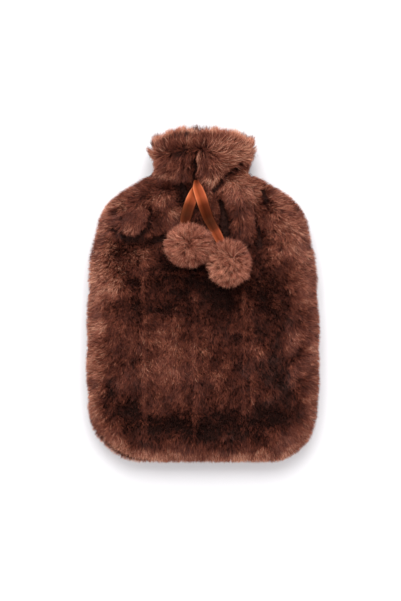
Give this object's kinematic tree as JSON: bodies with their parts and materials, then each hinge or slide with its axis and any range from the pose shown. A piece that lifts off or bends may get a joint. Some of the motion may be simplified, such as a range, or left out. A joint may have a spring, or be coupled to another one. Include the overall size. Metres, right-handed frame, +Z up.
{
  "type": "hot water bottle cover",
  "caption": "Long-pile fur fabric cover for a flat hot water bottle, with a gathered collar and a satin tie that ends in pompoms.",
  "frame": {"origin": "middle of the outline in plan, on the surface that the cover lies on", "axes": "+X to the right as seen from above with the collar away from the viewer, +Y from the bottom edge to the collar, +Z up, out of the front panel"},
  "size_m": [0.241, 0.3479, 0.0885],
  "materials": {
    "fur_fabric": "long brushed pile, brown with lighter tips",
    "satin_ribbon": "satin",
    "pompom_fur": "brushed pile, light brown"
  },
  "bodies": {
    "root": {"front_panel": "fur_fabric", "back_panel": "fur_fabric", "front_collar_edge": "fur_fabric", "back_collar_edge": "fur_fabric", "tie_ribbon": "satin_ribbon", "pompom_left": "pompom_fur", "pompom_right": "pompom_fur"}
  },
  "joints": []
}
